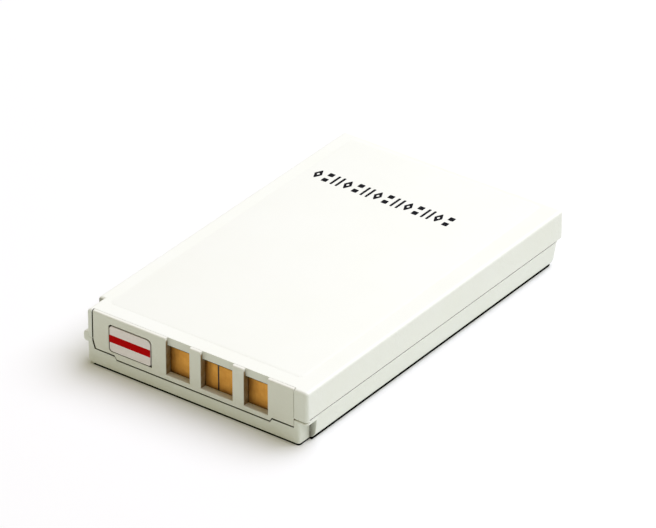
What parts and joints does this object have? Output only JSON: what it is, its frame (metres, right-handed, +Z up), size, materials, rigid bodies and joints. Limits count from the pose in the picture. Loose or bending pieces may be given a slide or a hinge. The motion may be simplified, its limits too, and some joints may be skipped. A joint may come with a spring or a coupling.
{
  "type": "rechargeable battery pack",
  "caption": "Flat white lithium-ion battery pack for a hand-held barcode scanner, with recessed gold contact pads and a moisture label in its end face.",
  "frame": {"origin": "middle of the underside's outline, at the bottom centre of the bounding box", "axes": "+Z up through the flat top face, +Y from the contact end to the plain back end, +X to the right as the contact end is looked at"},
  "size_m": [0.034, 0.054, 0.0076],
  "materials": {
    "white_case": "moulded polycarbonate and ABS, fine spark texture, warm white",
    "holder_plastic": "moulded polycarbonate, fine texture, warm white",
    "label_film": "matte white moisture paper",
    "red_ink": "matte red dye stripe",
    "board_laminate": "solder-masked glass laminate",
    "gold_plate": "satin gold plate over nickel",
    "chip_resin": "moulded black epoxy",
    "chip_ceramic": "fired ceramic",
    "can_aluminium": "drawn aluminium can",
    "gasket_plastic": "black insulating gasket",
    "nickel": "rolled nickel",
    "cutoff_resin": "moulded dark resin",
    "barley_paper": "insulating card",
    "foam": "thin adhesive foam",
    "clear_film": "satin translucent film over white",
    "black_ink": "dried black ink"
  },
  "bodies": {
    "root": {"upper_shell": "white_case", "lower_shell": "white_case", "contact_holder": "holder_plastic", "moisture_label": "label_film", "moisture_stripe": "red_ink", "contact_board": "board_laminate", "positive_pad": "gold_plate", "sense_pad": "gold_plate", "thermistor_pad": "gold_plate", "negative_pad": "gold_plate", "protection_chip": "chip_resin", "switch_transistors": "chip_resin", "chip_resistors": "chip_resin", "chip_capacitors": "chip_ceramic", "thermistor": "chip_ceramic", "cell_can": "can_aluminium", "terminal_gasket": "gasket_plastic", "negative_terminal": "nickel", "terminal_strip": "nickel", "cutoff_strip": "nickel", "can_strip": "nickel", "thermal_cutoff": "cutoff_resin", "header_card": "barley_paper", "lower_foam_pad": "foam", "upper_foam_pad": "foam", "top_film": "clear_film", "ink_marks": "black_ink"}
  },
  "joints": []
}
